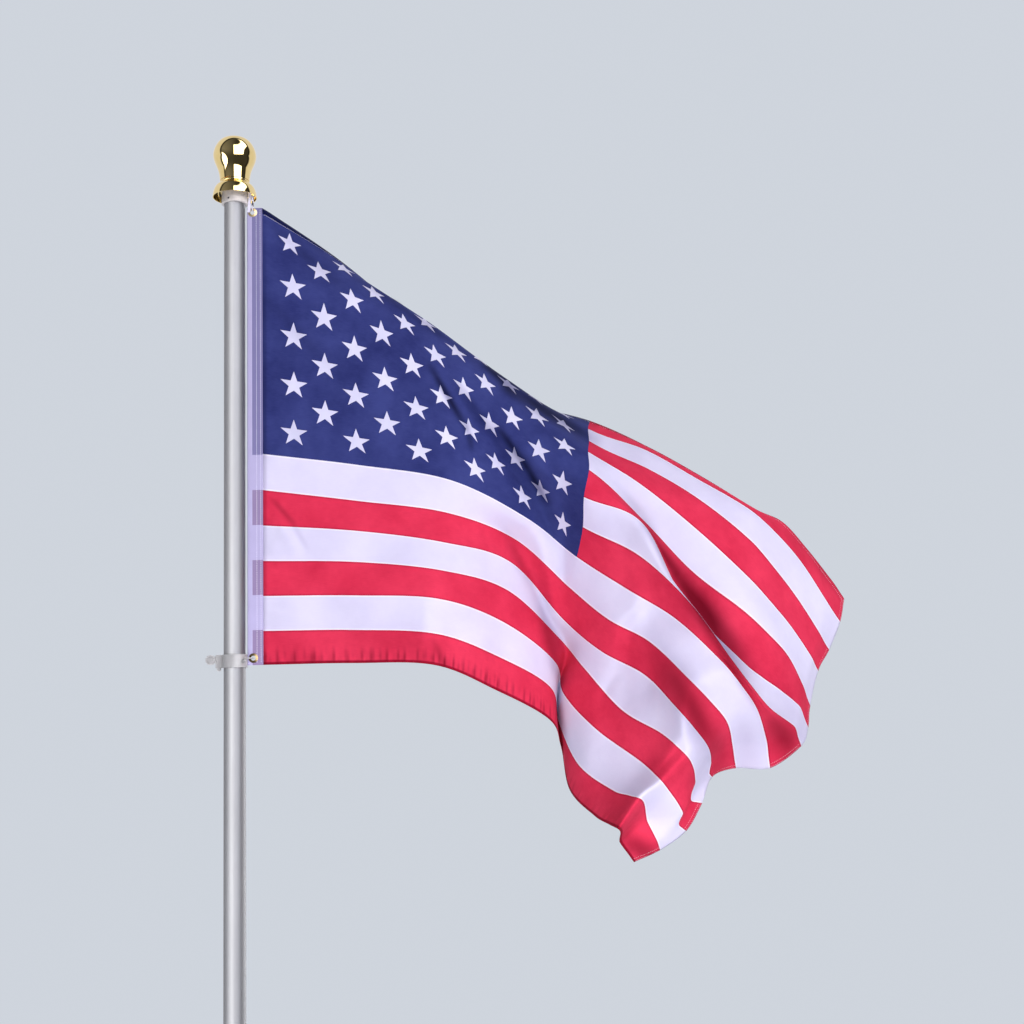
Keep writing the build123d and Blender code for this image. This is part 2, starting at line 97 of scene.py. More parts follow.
# Each seam from the top edge down: its places in the picture at those stations
SEAMS_SEEN = [
    [(262.7, 208), (342, 262), (423, 330), (502, 394), (590, 421), (650, 448),
     (704, 478), (757, 510), (782.8, 522.4), (807, 549), (829, 577), (835, 585), (844, 599)],
    [(262.7, 243), (345, 273), (424, 319), (506, 380), (588, 429), (645, 450),
     (697, 479), (750, 510), (776.3, 533.5), (801, 562), (827, 602), (832, 610), (840, 622)],
    [(262.7, 278), (352, 297), (430, 335), (508, 383), (589, 441), (650, 470),
     (700, 500), (750, 540), (774.1, 567.8), (797, 598), (820, 634), (823, 640), (829, 650)],
    [(262.7, 313), (354, 332), (437, 361), (511, 404), (588, 452), (640, 484),
     (695, 528), (748, 577), (771.1, 602.4), (792, 628), (812, 658), (814, 663), (818, 671)],
    [(262.7, 349), (355, 366), (441, 391), (513, 432), (589, 470), (643, 520),
     (692, 571), (744, 611), (767.3, 632.8), (788, 656), (804, 688), (806, 695), (810, 706)],
    [(262.7, 384), (356, 399), (445, 420), (516, 461), (584, 497), (642, 523),
     (684, 600), (743, 662), (763, 678.1), (780, 690), (800, 707), (803, 715), (808, 728)],
    [(262.7, 419), (356, 432), (448, 449), (521, 488), (583, 527), (640, 556),
     (690, 603), (732, 660), (751.1, 685.3), (770, 708), (795, 727), (797, 734), (801, 746)],
    [(262.7, 454), (358, 465), (450, 480), (525, 517), (577, 557), (627, 589),
     (676, 619), (722, 662), (741, 684.9), (757, 709), (767, 742), (768, 752), (770, 768)],
    [(262.7, 490), (358, 501), (446, 512.5), (515, 539), (569, 587), (608, 619),
     (650, 642), (690, 680), (710, 700.7), (727, 722), (733, 748), (734, 756), (736, 768)],
    [(262.7, 525.5), (357, 531), (444, 542.5), (510, 562), (563, 619), (601, 651),
     (645, 675), (676, 707), (693.2, 727), (708, 747), (711, 764), (709, 772), (712, 777)],
    [(262.7, 561), (356, 562), (442, 570.5), (507, 590), (559, 638), (585, 669),
     (622, 710), (661, 733), (677.7, 746.8), (691, 762), (695, 784), (690, 799), (702, 803)],
    [(262.7, 596), (355, 595.5), (439, 599), (503, 622), (554, 661), (564, 694),
     (596, 729), (640, 761), (654.6, 774), (667, 788), (683, 814), (678, 823), (686, 831)],
    [(262.7, 631), (354, 630), (437, 634), (499, 657), (550, 687), (559, 722),
     (579, 765), (614, 791), (629.8, 795.8), (643, 801), (648, 823), (656, 838), (660, 850)],
    [(262.7, 664.9), (354, 663), (435, 665), (496, 690), (549, 719), (561, 746),
     (570, 790), (596, 817), (609.2, 824.5), (620, 831), (620, 843), (626, 851), (634, 862)],
]

# Their depths behind the pole there, in mm, which the cloth starts from
SEAM_DEPTHS = [
    [0, 120, 190, 230, 240, 210, 180, 170, 182, 200, 230, 240, 260],
    [0, 70, 120, 160, 180, 150, 120, 110, 126, 150, 190, 200, 220],
    [0, 30, 80, 100, 120, 100, 70, 70, 90, 120, 170, 185, 210],
    [0, 30, 50, 60, 70, 50, 30, 50, 67, 90, 140, 155, 180],
    [0, 20, 40, 40, 30, 30, 30, 10, 28, 60, 120, 135, 160],
    [0, 20, 30, 60, 40, 30, 40, 10, 20, 40, 80, 95, 120],
    [0, 10, 20, 90, 70, 30, -20, -50, -36, -10, 40, 55, 80],
    [0, 10, 20, 80, 110, 50, 10, -50, -38, -10, 40, 55, 80],
    [0, 10, 20, 110, 140, 80, 30, -50, -41, -10, 60, 75, 100],
    [0, 0, 10, 100, 170, 110, 60, -30, -31, -10, 60, 80, 110],
    [0, -10, -10, 90, 210, 150, 80, 0, -30, -40, 30, 70, 80],
    [0, -20, -30, 70, 190, 180, 110, 30, -18, -50, 10, 50, 60],
    [0, -25, -38, 60, 170, 210, 130, 40, -20, -60, 10, 40, 30],
    [0, -38, -46, 40, 140, 230, 180, 50, -22, -70, 10, 45, 50],
]

# Creases, each from one place in the picture to another: half width in pixels, height in mm towards the viewer
CREASES = [
    ((474, 360), (590, 444), 6, -17),
    ((486, 364), (580, 425), 5, 8),
    ((500, 415), (560, 475), 7, -5),
    ((440, 372), (478, 432), 5, -5),
    ((452, 366), (490, 428), 5, 4),
    ((522, 462), (548, 504), 5, -5),
    ((268, 212), (330, 268), 6, 4),
    ((268, 500), (300, 560), 7, 4),
    ((636, 545), (638, 720), 9, 5),
    ((652, 650), (700, 775), 9, 8),
    ((680, 660), (716, 752), 9, -6),
    ((600, 702), (620, 664), 6, -5),
    ((300, 330), (420, 420), 12, 4),
    ((330, 430), (470, 470), 12, -4),
    ((300, 640), (470, 655), 9, 3),
    ((604, 466), (640, 520), 8, -4),
]

# Shade of the folds, painted into the cloth's colour and laid on in the same way: half width in pixels, strength
# from 0 to 1
PAINTED_FOLD_SHADES = [
    ((430, 366), (466, 428), 3.4, 0.85),
    ((466, 424), (472, 450), 3.2, 0.5),
    ((499, 428), (526, 466), 3.6, 0.75),
    ((524, 462), (547, 502), 4, 0.85),
    ((484, 357), (513, 394), 6, 0.7),
    ((508, 388), (594, 440), 7, 0.9),
    ((264.5, 208), (264.5, 668), 2.2, 0.4),
    ((318, 240), (352, 272), 4, 0.3),
    ((351, 272), (486, 366), 4, 0.35),
    ((486, 366), (594, 424), 5, 0.8),
    ((270, 226), (345, 290), 5, 0.25),
    ((268, 300), (330, 366), 6, 0.18),
    ((645, 524), (676, 572), 5, 0.6),
    ((668, 556), (712, 622), 9, 0.6),
    ((700, 600), (748, 668), 10, 0.55),
    ((676, 577), (752, 692), 6, 0.5),
    ((616, 484), (650, 530), 5, 0.25),
    ((664, 656), (718, 754), 14, 0.75),
    ((740, 708), (752, 768), 12, 0.16),
    ((768, 714), (797, 754), 14, 0.6),
    ((622, 838), (656, 856), 10, 0.55),
    ((540, 612), (560, 682), 6, 0.4),
    ((556, 690), (568, 760), 4, 0.3),
    ((505, 532), (530, 582), 6, 0.4),
    ((528, 576), (556, 644), 6, 0.35),
    ((272, 499), (294, 524), 3, 0.4),
    ((292, 522), (308, 550), 3, 0.22),
    ((434, 642), (448, 674), 4, 0.4),
    ((420, 300), (440, 336), 4, 0.25),
    ((796, 530), (838, 592), 4, 0.25),
]

# Cells of the cloth while it is shaped, and when it is drawn
ROWS_A_STRIPE = 4
COLUMNS_UNION = 48
COLUMNS_STRIPES = 48
FINE_ROWS_A_STRIPE = 12
FINE_COLUMNS = 150


def project(points):
    """Places in the picture of points in space."""
    d = points - EYE
    f = d @ AHEAD
    return np.stack([WIDE / 2 + FOCUS * (d @ SIDE) / f, WIDE / 2 - FOCUS * (d @ UP) / f], -1)


def sight(seen):
    """Lines of sight through places in the picture."""
    across = (seen[..., 0:1] - WIDE / 2) / FOCUS
    down = (seen[..., 1:2] - WIDE / 2) / FOCUS
    return AHEAD + SIDE * across - UP * down


def smooth_through(values, knots, at):
    """A smooth curve through values of any shape at the knots, read at other places."""
    knots = np.asarray(knots, float).reshape([-1] + [1] * (values.ndim - 1))
    slope = np.zeros_like(values)
    slope[1:-1] = (values[2:] - values[:-2]) / (knots[2:] - knots[:-2])
    slope[0] = (values[1] - values[0]) / (knots[1] - knots[0])
    slope[-1] = (values[-1] - values[-2]) / (knots[-1] - knots[-2])
    i = np.clip(np.searchsorted(knots.ravel(), at, side="right") - 1, 0, len(knots) - 2)
    h = knots[i + 1] - knots[i]
    f = (at.reshape(h.shape) - knots[i]) / h
    return (values[i] * (2 * f**3 - 3 * f**2 + 1) + slope[i] * h * (f**3 - 2 * f**2 + f)
            + values[i + 1] * (3 * f**2 - 2 * f**3) + slope[i + 1] * h * (f**3 - f**2))


def seen_grid():
    """The cloth's grid as the seams give it: place in the picture and depth, with its flat places s and t."""
    data = np.concatenate([np.array(SEAMS_SEEN, float), np.array(SEAM_DEPTHS, float)[..., None] / 1000], -1)
    rest = FLY_END - UNION_END
    place = np.concatenate([np.arange(COLUMNS_UNION) / COLUMNS_UNION * UNION_END,
                            UNION_END + np.arange(COLUMNS_STRIPES + 1) / COLUMNS_STRIPES * rest])
    level = np.arange(STRIPES * ROWS_A_STRIPE + 1) / ROWS_A_STRIPE
    along = np.stack([smooth_through(seam, PLACES, place) for seam in data])
    s = np.where(place <= UNION_END, place / UNION_END * UNION,
                 UNION + (place - UNION_END) / rest * (FLY - UNION))
    return smooth_through(along, np.arange(STRIPES + 1), level), s, level * STRIPE


def pull(a, b, length, squeeze):
    """Half the way that a goes towards b, and b towards a, for them to lie a length apart."""
    v = b - a
    n = np.maximum(np.linalg.norm(v, axis=-1), 1e-9)
    w = (n - length) / n
    return v * (np.where(w < 0, w * squeeze, w) * 0.5)[..., None]


def relaxed(steps, hold=0.25, bend=0.35, squeeze=0.6, keep=0.004, settle=30):
    """Brings the cloth's lengths near the true ones by moving it along the lines of sight: hold draws it to
    those lines, keep to the depths given, bend smooths it, squeeze is how hard a short cell pushes, and over
    the last settle steps it ends on the lines."""
    grid, s, t = seen_grid()
    line = sight(grid[..., :2])
    p = EYE + line / line[..., 1:2] * (grid[..., 2:3] - EYE[1])
    chosen = p.copy()
    line /= np.linalg.norm(line, axis=-1, keepdims=True)
    ds, dt = np.diff(s), np.diff(t)
    diagonal = np.sqrt(ds[None, :] ** 2 + dt[:, None] ** 2)
    slants = ((np.s_[:-1, :-1], np.s_[1:, 1:]), (np.s_[:-1, 1:], np.s_[1:, :-1]))
    hoist = np.stack([np.full(len(t), SEAM_X), np.zeros(len(t)), p[:, 0, 2]], -1)
    hoist[0, 2], hoist[-1, 2] = TOP_Z, TOP_Z - HOIST
    for step in range(steps):
        for rows, gaps in ((p.swapaxes(0, 1), ds), (p, dt)):
            for o in (0, 1):
                m = pull(rows[o:-1:2], rows[o + 1::2], gaps[o::2][:, None], squeeze)
                rows[o:-1:2] += m
                rows[o + 1::2] -= m
        move = np.zeros_like(p)
        for a, b in slants:
            m = pull(p[a], p[b], diagonal, squeeze) * 0.25
            move[a] += m
            move[b] -= m
        p += move
        move = np.zeros_like(p)
        move[:, 1:-1] += (p[:, :-2] + p[:, 2:]) / 2 - p[:, 1:-1]
        move[1:-1] += (p[:-2] + p[2:]) / 2 - p[1:-1]
        p += move * 0.5 * bend
        p += (chosen - p) * keep
        left = steps - step
        w = hold if left > settle else 1 - (1 - hold) * left / settle
        p += (EYE + line * ((p - EYE) * line).sum(-1, keepdims=True) - p) * w
        p[:, 0] = hoist
    away = ((p - EYE) * line).sum(-1)
    for step in range(3):
        around = away[:-2, 1:-1] + away[2:, 1:-1] + away[1:-1, :-2] + away[1:-1, 2:]
        away[1:-1, 1:-1] += 0.125 * (around - 4 * away[1:-1, 1:-1])
    p[:, 1:] = (EYE + line * away[..., None])[:, 1:]
    return p, s, t


def bump(x):
    """A soft hill, 1 at the middle."""
    return np.exp(-x * x)


def strokes(marks, places):
    """Adds up soft strokes along lines in the picture, at the cloth's places there."""
    total = np.zeros(places.shape[:2])
    for a, b, half, height in marks:
        a, b = np.array(a, float), np.array(b, float)
        run = b - a
        f = np.clip(((places - a) @ run) / (run @ run), 0, 1)
        off = np.linalg.norm(places - a - f[..., None] * run, axis=-1)
        total += height * bump(off / half) * np.sin(np.pi * np.clip(0.08 + 0.84 * f, 0, 1)) ** 0.7
    return total


# The cloth's middle
coarse, s0, t0 = relaxed(1500)
s1 = np.concatenate([np.linspace(0, UNION, FINE_COLUMNS + 1)[:-1], np.linspace(UNION, FLY, FINE_COLUMNS + 1)])
t1 = np.linspace(0, HOIST, STRIPES * FINE_ROWS_A_STRIPE + 1)
cloth = smooth_through(coarse, t0, t1)
cloth = smooth_through(cloth.transpose(1, 0, 2), s0, s1).transpose(1, 0, 2)
S, T = np.meshgrid(s1, t1)
seen = project(cloth)
toward = EYE - cloth
toward /= np.linalg.norm(toward, axis=-1, keepdims=True)

# Creases, puckers 2 mm high along the sewn edges, and seven faint ripples all over
lift = strokes(CREASES, seen) / 1000
ripple = np.sin(S * 195 + 1.7 * np.sin(S * 31)) * 0.6 + np.sin(S * 311 + T * 90 + 2) * 0.4
edge = bump((HOIST - T) / 0.02) + 0.35 * bump(T / 0.02) + 0.35 * bump((FLY - S) / 0.02)
lift += 0.0021 * edge * ripple
lift += 0.0012 * bump(S / 0.03) * np.sin(T * 160 + 2 * np.sin(T * 23))
for k in range(7):
    ka, kb, turn = rng.uniform(14, 52), rng.uniform(10, 44), rng.uniform(0, 6.28)
    lift += 0.00055 * np.sin(ka * S + kb * T * rng.choice([-1, 1]) + turn)
lift *= np.clip(S / 0.02, 0, 1)

# Painted shade: how dark the folds and the puckers of the foot hem make the cloth's colour
painted_pucker_shade = np.clip(0.7 * ripple + 0.7 * np.sin(S * 400 + 2 * np.sin(S * 45)), 0, 1)
painted_pucker_shade *= 0.55 * np.clip((1.15 - S) / 0.2, 0, 1) * bump((HOIST - 0.012 - T) / 0.016)
painted_fold_shade = np.clip(strokes(PAINTED_FOLD_SHADES, seen) + painted_pucker_shade, 0, 0.85)

cloth = cloth + toward * lift[..., None]
cloth_normal = np.cross(np.gradient(cloth, axis=1), np.gradient(cloth, axis=0))
cloth_normal /= np.maximum(np.linalg.norm(cloth_normal, axis=-1, keepdims=True), 1e-12)
if (cloth_normal * toward).sum(-1).mean() < 0:
    cloth_normal = -cloth_normal


def mesh_object(name, vertices, faces):
    """A smooth mesh, linked into the scene."""
    mesh = bpy.data.meshes.new(name)
    mesh.from_pydata([tuple(v) for v in vertices], [], [tuple(f) for f in faces])
    mesh.validate()
    mesh.update()
    mesh.polygons.foreach_set("use_smooth", [True] * len(mesh.polygons))
    obj = bpy.data.objects.new(name, mesh)
    bpy.context.scene.collection.objects.link(obj)
    return obj


def cut_map(obj, places):
    """Gives each vertex its place on the flat cloth as UV."""
    layer = obj.data.uv_layers.new(name="cut")
    loops = np.zeros(len(obj.data.loops), int)
    obj.data.loops.foreach_get("vertex_index", loops)
    layer.data.foreach_set("uv", places[loops].ravel())


def store_painted_shade(obj, values):
    """Stores on each vertex how strongly painted fold shade darkens its colour."""
    layer = obj.data.attributes.new("painted_shade", "FLOAT", "POINT")
    layer.data.foreach_set("value", np.asarray(values, np.float32))


def shell(name, front, back, flat):
    """A closed sheet between two grids of points, with their flat places."""
    rows, columns = front.shape[:2]
    index = np.arange(rows * columns).reshape(rows, columns)
    a, b, c, d = [part.ravel() for part in (index[:-1, :-1], index[:-1, 1:], index[1:, 1:], index[1:, :-1])]
    ring = np.concatenate([index[0, :-1], index[:-1, -1], index[-1, :0:-1], index[:0:-1, 0]])
    under = rows * columns
    faces = np.concatenate([np.stack([a, d, c, b], -1), np.stack([a, b, c, d], -1) + under,
                            np.stack([ring, np.roll(ring, -1), np.roll(ring, -1) + under, ring + under], -1)])
    obj = mesh_object(name, np.concatenate([front.reshape(-1, 3), back.reshape(-1, 3)]), faces)
    cut_map(obj, np.concatenate([flat.reshape(-1, 2)] * 2))
    return obj, faces


def rgb(code):
    """A linear colour from an sRGB hex value."""
    parts = [int(code[i:i + 2], 16) / 255 for i in (1, 3, 5)]
    return tuple(c / 12.92 if c <= 0.04045 else ((c + 0.055) / 1.055) ** 2.4 for c in parts) + (1.0,)


def put(tree, kind, links=(), out=0, **settings):
    """Adds one node with its settings and links, and gives back one of its outputs."""
    node = tree.nodes.new("ShaderNode" + kind)
    for key, value in settings.items():
        setattr(node, key, value)
    for key, value in links.items() if isinstance(links, dict) else enumerate(links):
        if isinstance(value, bpy.types.NodeSocket):
            tree.links.new(value, node.inputs[key])
        else:
            node.inputs[key].default_value = value
    return node.outputs[out] if node.outputs else None


# A wave texture's band at scale 1, in metres, along one axis and across a slope through all three
BAND = math.pi / 10
SLOPE_BAND = math.pi / 5 / math.sqrt(3)
# What a mix of two colours is asked for
COLOURS = {"out": 2, "data_type": "RGBA"}


def per(size, span=1.0):
    """How many of a pattern's grains of that size, in mm, go into a span in metres."""
    return span * 1000 / size


def new_material(name):
    """An empty material, its node tree, and places on the object in metres."""
    material = bpy.data.materials.new(name)
    material.use_nodes = True
    material.node_tree.nodes.clear()
    return material, material.node_tree, put(material.node_tree, "TexCoord", out="Object")


def skin(tree, colour, rough, height, strength, depth, more={}):
    """One surface over a bump of some depth in mm, and the material's output."""
    raised = put(tree, "Bump", {"Strength": strength, "Distance": depth / 1000, "Height": height})
    sockets = {"Base Color": colour, "Roughness": rough, "Normal": raised, **more}
    put(tree, "OutputMaterial", {"Surface": put(tree, "BsdfPrincipled", sockets)})


def woven(tree, where, scales, ways, wander):
    """Warp threads crossed by weft threads."""
    threads = [put(tree, "TexWave", {"Vector": where, "Scale": scale, "Distortion": wander}, "Fac",
                   bands_direction=way) for scale, way in zip(scales, ways)]
    return put(tree, "Math", threads, operation="MULTIPLY")


def nylon(name, lit, dim, doubled_and_shaded, painted_shade_colour, through, sheen, sewn):
    """Dyed woven nylon: dull, softly crumpled, a little light comes through. Hems and felled seams show the colour
    of doubled cloth, the top hem darker still with painted shade of its roll, and painted fold shade takes the
    colour over to a dark shade colour."""
    material, tree, where = new_material(name)
    cut = put(tree, "UVMap", uv_map="cut")
    # Patches of tone 111 mm wide, and slubs 17 mm long and 0.6 mm thick
    tone = put(tree, "TexNoise", {"Vector": where, "Scale": per(111.1), "Detail": 4.0, "Roughness": 0.6}, "Fac")
    slub = put(tree, "Mapping", {"Vector": cut, "Scale": (per(16.6, FLY), per(0.61, HOIST), 1.0)})
    slub = put(tree, "TexNoise", {"Vector": slub, "Scale": 1.0}, "Fac")
    tones = put(tree, "Mix", {0: 0.25, 2: tone, 3: slub})
    tones = put(tree, "MapRange", [tones, 0.34, 0.64, 0.2, 0.85])
    colour = put(tree, "Mix", {0: tones, 6: rgb(dim), 7: rgb(lit)}, **COLOURS)

    rise = put(tree, "SeparateXYZ", [cut], "Y")
    run = rise.node.outputs["X"]
    # Doubled cloth at the top hem, fading out along the fly, and at the foot hem; the top hem's darkening is
    # partly painted shade of its rolled edge
    top = put(tree, "MapRange", [rise, 1 - (TOP_HEM + 0.0005) / HOIST, 1 - (TOP_HEM - 0.0005) / HOIST])
    foot = put(tree, "MapRange", [rise, (FOOT_HEM + 0.0015) / HOIST, (FOOT_HEM - 0.0015) / HOIST])
    fading = put(tree, "MapRange", [run, TOP_HEM_SHADE_FADES[1] / FLY, TOP_HEM_SHADE_FADES[0] / FLY])
    hem = put(tree, "Math", [top, fading, foot], operation="MULTIPLY_ADD", use_clamp=True)
    row = put(tree, "Math", [put(tree, "Math", [rise, STRIPES], operation="MULTIPLY")], operation="FRACT")
    row = put(tree, "Math", [put(tree, "Math", [row, 0.5], operation="SUBTRACT")], operation="ABSOLUTE")
    seam = put(tree, "Math", [row, 0.5 - SEAM_SHOWN / STRIPE], operation="GREATER_THAN")
    seam = put(tree, "Math", [seam, sewn], operation="MULTIPLY")
    hem = put(tree, "Math", [hem, seam], operation="MAXIMUM")
    colour = put(tree, "Mix", {0: hem, 6: colour, 7: rgb(doubled_and_shaded)}, **COLOURS)
    # Painted shade of the folds, stored on the cloth, darkens the colour
    painted_shade = put(tree, "Attribute", out="Fac", attribute_name="painted_shade")
    colour = put(tree, "Mix", {0: painted_shade, 6: colour, 7: rgb(painted_shade_colour)}, **COLOURS)

    # Crumples 18 mm wide; threads 0.8 mm and 0.5 mm apart, coarser than the real 0.2 mm so that they show
    crumple = put(tree, "TexNoise", {"Vector": where, "Scale": per(18.18), "Detail": 3.0,
                                     "Roughness": 0.55}, "Fac")
    soft = put(tree, "Bump", {"Strength": 0.25, "Distance": 0.0012, "Height": crumple})
    weave = woven(tree, cut, (BAND * per(0.757, FLY), BAND * per(0.463, HOIST)), "XY", 0.4)
    fine = put(tree, "Bump", {"Strength": 0.12, "Distance": 0.0002, "Height": weave, "Normal": soft})
    surface = put(tree, "BsdfPrincipled", {
        "Base Color": colour, "Roughness": put(tree, "MapRange", [tone, 0.3, 0.7, 0.66, 0.78]),
        "Specular IOR Level": 0.05, "Normal": fine, "Sheen Weight": sheen, "Sheen Roughness": 0.45,
        "Sheen Tint": rgb("#e8e4ff")})
    behind = put(tree, "BsdfTranslucent", {"Color": colour, "Normal": soft})
    put(tree, "OutputMaterial", {"Surface": put(tree, "MixShader", [through, surface, behind])})
    return material


def twill():
    """Polyester twill of the stars: white, with slanting ribs 3.6 mm apart, coarser than real so that they show,
    and the painted fold shade of the cloth that carries it."""
    material, tree, where = new_material("white_star_twill")
    cut = put(tree, "UVMap", uv_map="cut")
    ribs = put(tree, "TexWave", {"Vector": cut, "Scale": BAND * per(3.61, FLY) * 2, "Distortion": 0.6}, "Fac",
               bands_direction="DIAGONAL")
    tone = put(tree, "TexNoise", {"Vector": where, "Scale": per(25), "Detail": 3.0}, "Fac")
    colour = put(tree, "Mix", {0: tone, 6: rgb("#b9b8d0"), 7: rgb("#cbc9de")}, **COLOURS)
    # Painted shade of the folds, stored on the cloth, darkens the colour
    painted_shade = put(tree, "Attribute", out="Fac", attribute_name="painted_shade")
    colour = put(tree, "Mix", {0: painted_shade, 6: colour, 7: rgb("#55547a")}, **COLOURS)
    skin(tree, colour, 0.5, ribs, 0.2, 0.3, {"Sheen Weight": 0.1})
    return material


def canvas():
    """Cotton canvas of the heading: matt, with a coarse weave, and the red and blue of the ends that are sewn
    in behind it show faintly through."""
    material, tree, where = new_material("white_canvas_tape")
    x = put(tree, "SeparateXYZ", [where], "X")
    drop = put(tree, "Math", [TOP_Z, x.node.outputs["Z"]], operation="SUBTRACT")
    # The stripes' ends lie up to 12 mm below even thirteenths of the hoist
    bow = put(tree, "Math", [HOIST, drop], operation="SUBTRACT")
    bow = put(tree, "Math", [put(tree, "Math", [drop, bow], operation="MULTIPLY"), 0.0577], operation="MULTIPLY")
    drop = put(tree, "Math", [drop, bow], operation="SUBTRACT")
    row = put(tree, "Math", [put(tree, "Math", [drop, 0.5 / STRIPE], operation="MULTIPLY")], operation="FRACT")
    red = put(tree, "Math", [row, 0.5], operation="LESS_THAN")
    low = put(tree, "Math", [drop, UNION_DROP], operation="GREATER_THAN")
    sewn_in = put(tree, "Math", [x, HEADING_X + 0.010], operation="GREATER_THAN")
    tone = put(tree, "TexNoise", {"Vector": where, "Scale": per(33.33), "Detail": 4.0}, "Fac")
    colour = put(tree, "Mix", {0: tone, 6: rgb("#a6a0c2"), 7: rgb("#b4aed0")}, **COLOURS)
    for factors, code in (([low, red, 0.75], "#7c6488"),
                          ([put(tree, "Math", [1.0, low], operation="SUBTRACT"), 0.8], "#625f8c")):
        share = sewn_in
        for factor in factors:
            share = put(tree, "Math", [share, factor], operation="MULTIPLY")
        colour = put(tree, "Mix", {0: share, 6: colour, 7: rgb(code)}, **COLOURS)
    # Threads 1 mm apart
    weave = woven(tree, where, [BAND * per(0.952)] * 2, "XZ", 0.3)
    skin(tree, colour, 0.78, weave, 0.3, 0.4, {"Sheen Weight": 0.1})
    return material


def twisted(name, size):
    """White polyester, twisted or woven on the slope, with a slight shine."""
    material, tree, where = new_material(name)
    twist = put(tree, "TexWave", {"Vector": where, "Scale": SLOPE_BAND * per(size), "Distortion": 0.5}, "Fac",
                bands_direction="DIAGONAL")
    colour = put(tree, "Mix", {0: twist, 6: rgb("#d3cfe2"), 7: rgb("#f2f0fa")}, **COLOURS)
    skin(tree, colour, 0.45, twist, 0.3, 0.2)
    return material


def aluminium():
    """Satin anodised aluminium tube: draw lines along its length blur the shine to a broad streak."""
    material, tree, where = new_material("satin_aluminium")
    # Draw lines 1.1 mm wide and 167 mm long, coarser than real; patches 200 mm wide
    drawn = put(tree, "Mapping", {"Vector": where, "Scale": (per(1.111), per(1.111), per(166.7))})
    lines = put(tree, "TexNoise", {"Vector": drawn, "Scale": 1.0, "Detail": 4.0, "Roughness": 0.6}, "Fac")
    patches = put(tree, "TexNoise", {"Vector": where, "Scale": per(200), "Detail": 4.0, "Roughness": 0.55}, "Fac")
    colour = put(tree, "Mix", {0: patches, 6: rgb("#727274"), 7: rgb("#7e7e80")}, **COLOURS)
    rough = put(tree, "MapRange", [lines, 0.3, 0.7, 0.55, 0.62])
    skin(tree, colour, rough, lines, 0.06, 0.1, {"Metallic": 1.0})
    return material


def plated(name, light, dark, smooth, worn):
    """Plating over spun metal: mirrors the room, with a polisher's haze and a slow unevenness."""
    material, tree, where = new_material(name)
    haze = put(tree, "TexNoise", {"Vector": where, "Scale": per(16.67), "Detail": 4.0, "Roughness": 0.6}, "Fac")
    uneven = put(tree, "TexNoise", {"Vector": where, "Scale": per(45.45)}, "Fac")
    colour = put(tree, "Mix", {0: haze, 6: rgb(dark), 7: rgb(light)}, **COLOURS)
    rough = put(tree, "MapRange", [haze, 0.3, 0.75, smooth, worn])
    skin(tree, colour, rough, uneven, 0.02, 0.4, {"Metallic": 1.0})
    return material


def moulded(name, light, dark, rough, clear=0.0):
    """Injection-moulded plastic: even, with the mould's fine grain; a clear one lets some light through."""
    material, tree, where = new_material(name)
    tone = put(tree, "TexNoise", {"Vector": where, "Scale": per(8.333), "Detail": 3.0}, "Fac")
    grain = put(tree, "TexNoise", {"Vector": where, "Scale": per(1.111)}, "Fac")
    colour = put(tree, "Mix", {0: tone, 6: rgb(dark), 7: rgb(light)}, **COLOURS)
    skin(tree, colour, rough, grain, 0.12, 0.2, {"Transmission Weight": clear})
    return material


def steel():
    """Dark plated steel: a small dull glint with marks of the turning, 3 mm wide."""
    material, tree, where = new_material("dark_plated_steel")
    marks = put(tree, "TexNoise", {"Vector": where, "Scale": per(3.333), "Detail": 3.0}, "Fac")
    colour = put(tree, "Mix", {0: marks, 6: rgb("#35333a"), 7: rgb("#57555c")}, **COLOURS)
    skin(tree, colour, 0.35, marks, 0.1, 0.1, {"Metallic": 1.0})
    return material


def laid_cord():
    """White laid cord, its strands 1.4 mm thick, bound with dark tape just above the heading."""
    material, tree, where = new_material("white_cord_bound_in_dark_tape")
    z = put(tree, "SeparateXYZ", [where], "Z")
    bound = put(tree, "Math", [put(tree, "Math", [z, TOP_Z + 0.004], operation="GREATER_THAN"),
                               put(tree, "Math", [z, TOP_Z + 0.013], operation="LESS_THAN")], operation="MULTIPLY")
    lay = put(tree, "TexWave", {"Vector": where, "Scale": SLOPE_BAND * per(1.395), "Distortion": 0.3}, "Fac",
              bands_direction="DIAGONAL")
    colour = put(tree, "Mix", {0: lay, 6: rgb("#cfccd6"), 7: rgb("#efedf5")}, **COLOURS)
    colour = put(tree, "Mix", {0: bound, 6: colour, 7: rgb("#34323a")}, **COLOURS)
    skin(tree, colour, 0.7, lay, 0.4, 0.3)
    return material


# Dyed nylon. The red goes darker where it is doubled, the white lighter, and along the top hem the darkening is
# also painted shade; blue shows neither seam nor sheen. The fourth colour is the painted shade of folds
red_nylon = nylon("red_nylon_cloth", "#ec4160", "#c42341", "#98122c", "#6a0418", 0.20, 0.01, 0.4)
white_nylon = nylon("white_nylon_cloth", "#e6e3f4", "#d6d2e8", "#f2f0fa", "#8d84aa", 0.24, 0.03, 0.7)
blue_nylon = nylon("blue_nylon_cloth", "#3d4580", "#1c2154", "#12163a", "#080a20", 0.08, 0.02, 0.0)
star_twill = twill()
canvas_tape = canvas()
# Sewing thread, drawn as fine as its 0.4 mm, and the webbing of the tie
thread = twisted("white_sewing_thread", 0.403)
webbing = twisted("white_polyester_webbing", 1.395)
cord = laid_cord()
satin = aluminium()
# Gold plate, polished to a mirror, and brass that has gone from bright to brown
gold = plated("polished_gold_plate", "#f3dca0", "#e2c67e", 0.02, 0.06)
pale_brass = plated("polished_brass", "#c9b78e", "#a28b5e", 0.34, 0.46)
aged_brass = plated("aged_brass", "#a08a60", "#6c573a", 0.22, 0.36)
